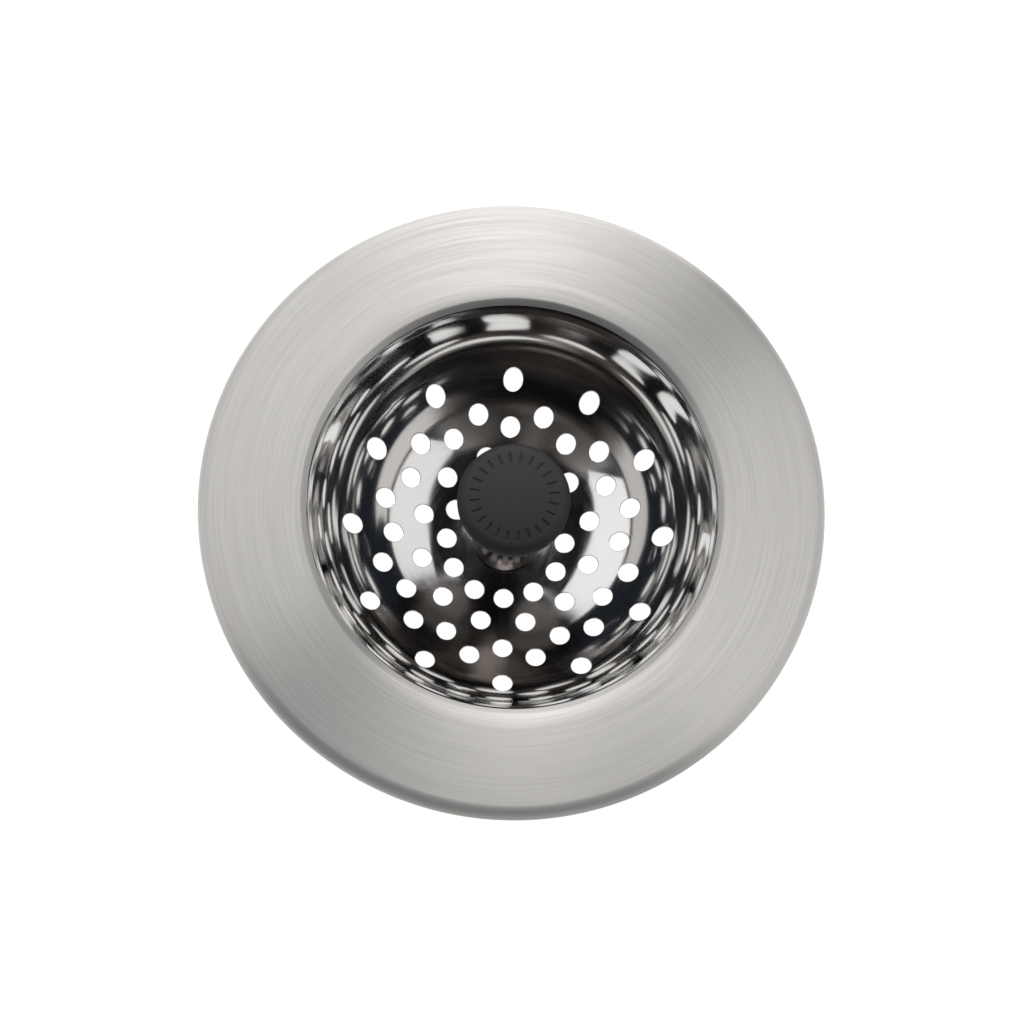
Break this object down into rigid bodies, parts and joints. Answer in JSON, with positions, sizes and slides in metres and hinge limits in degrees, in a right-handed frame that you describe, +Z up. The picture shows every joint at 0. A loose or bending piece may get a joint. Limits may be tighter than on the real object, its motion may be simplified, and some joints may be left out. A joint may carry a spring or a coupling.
{
  "type": "basket strainer",
  "caption": "Drop-in sink strainer: a punched steel bowl with a wide brushed rim that rests around the drain, and a round soft knob on a post to lift it out.",
  "frame": {"origin": "centre of the bowl's flat base, on the surface that it stands on", "axes": "+Z up along the bowl's axis; +X through one of the holes of the outermost ring"},
  "size_m": [0.1142, 0.1143, 0.0407],
  "materials": {
    "stainless_sheet": "rim brushed in circles, bowl polished",
    "polished_stainless": "polished",
    "soft_grip": "matte soft-touch",
    "rigid_plastic": "moulded",
    "seal_rubber": "matte",
    "insert_brass": "turned and knurled",
    "screw_steel": "plain"
  },
  "bodies": {
    "root": {"strainer_body": "stainless_sheet", "knob_grip": "soft_grip", "knob_core": "rigid_plastic", "threaded_insert": "insert_brass", "knob_post": "polished_stainless", "seat_washer": "seal_rubber", "fixing_screw": "screw_steel", "flat_washer": "screw_steel"}
  },
  "joints": []
}
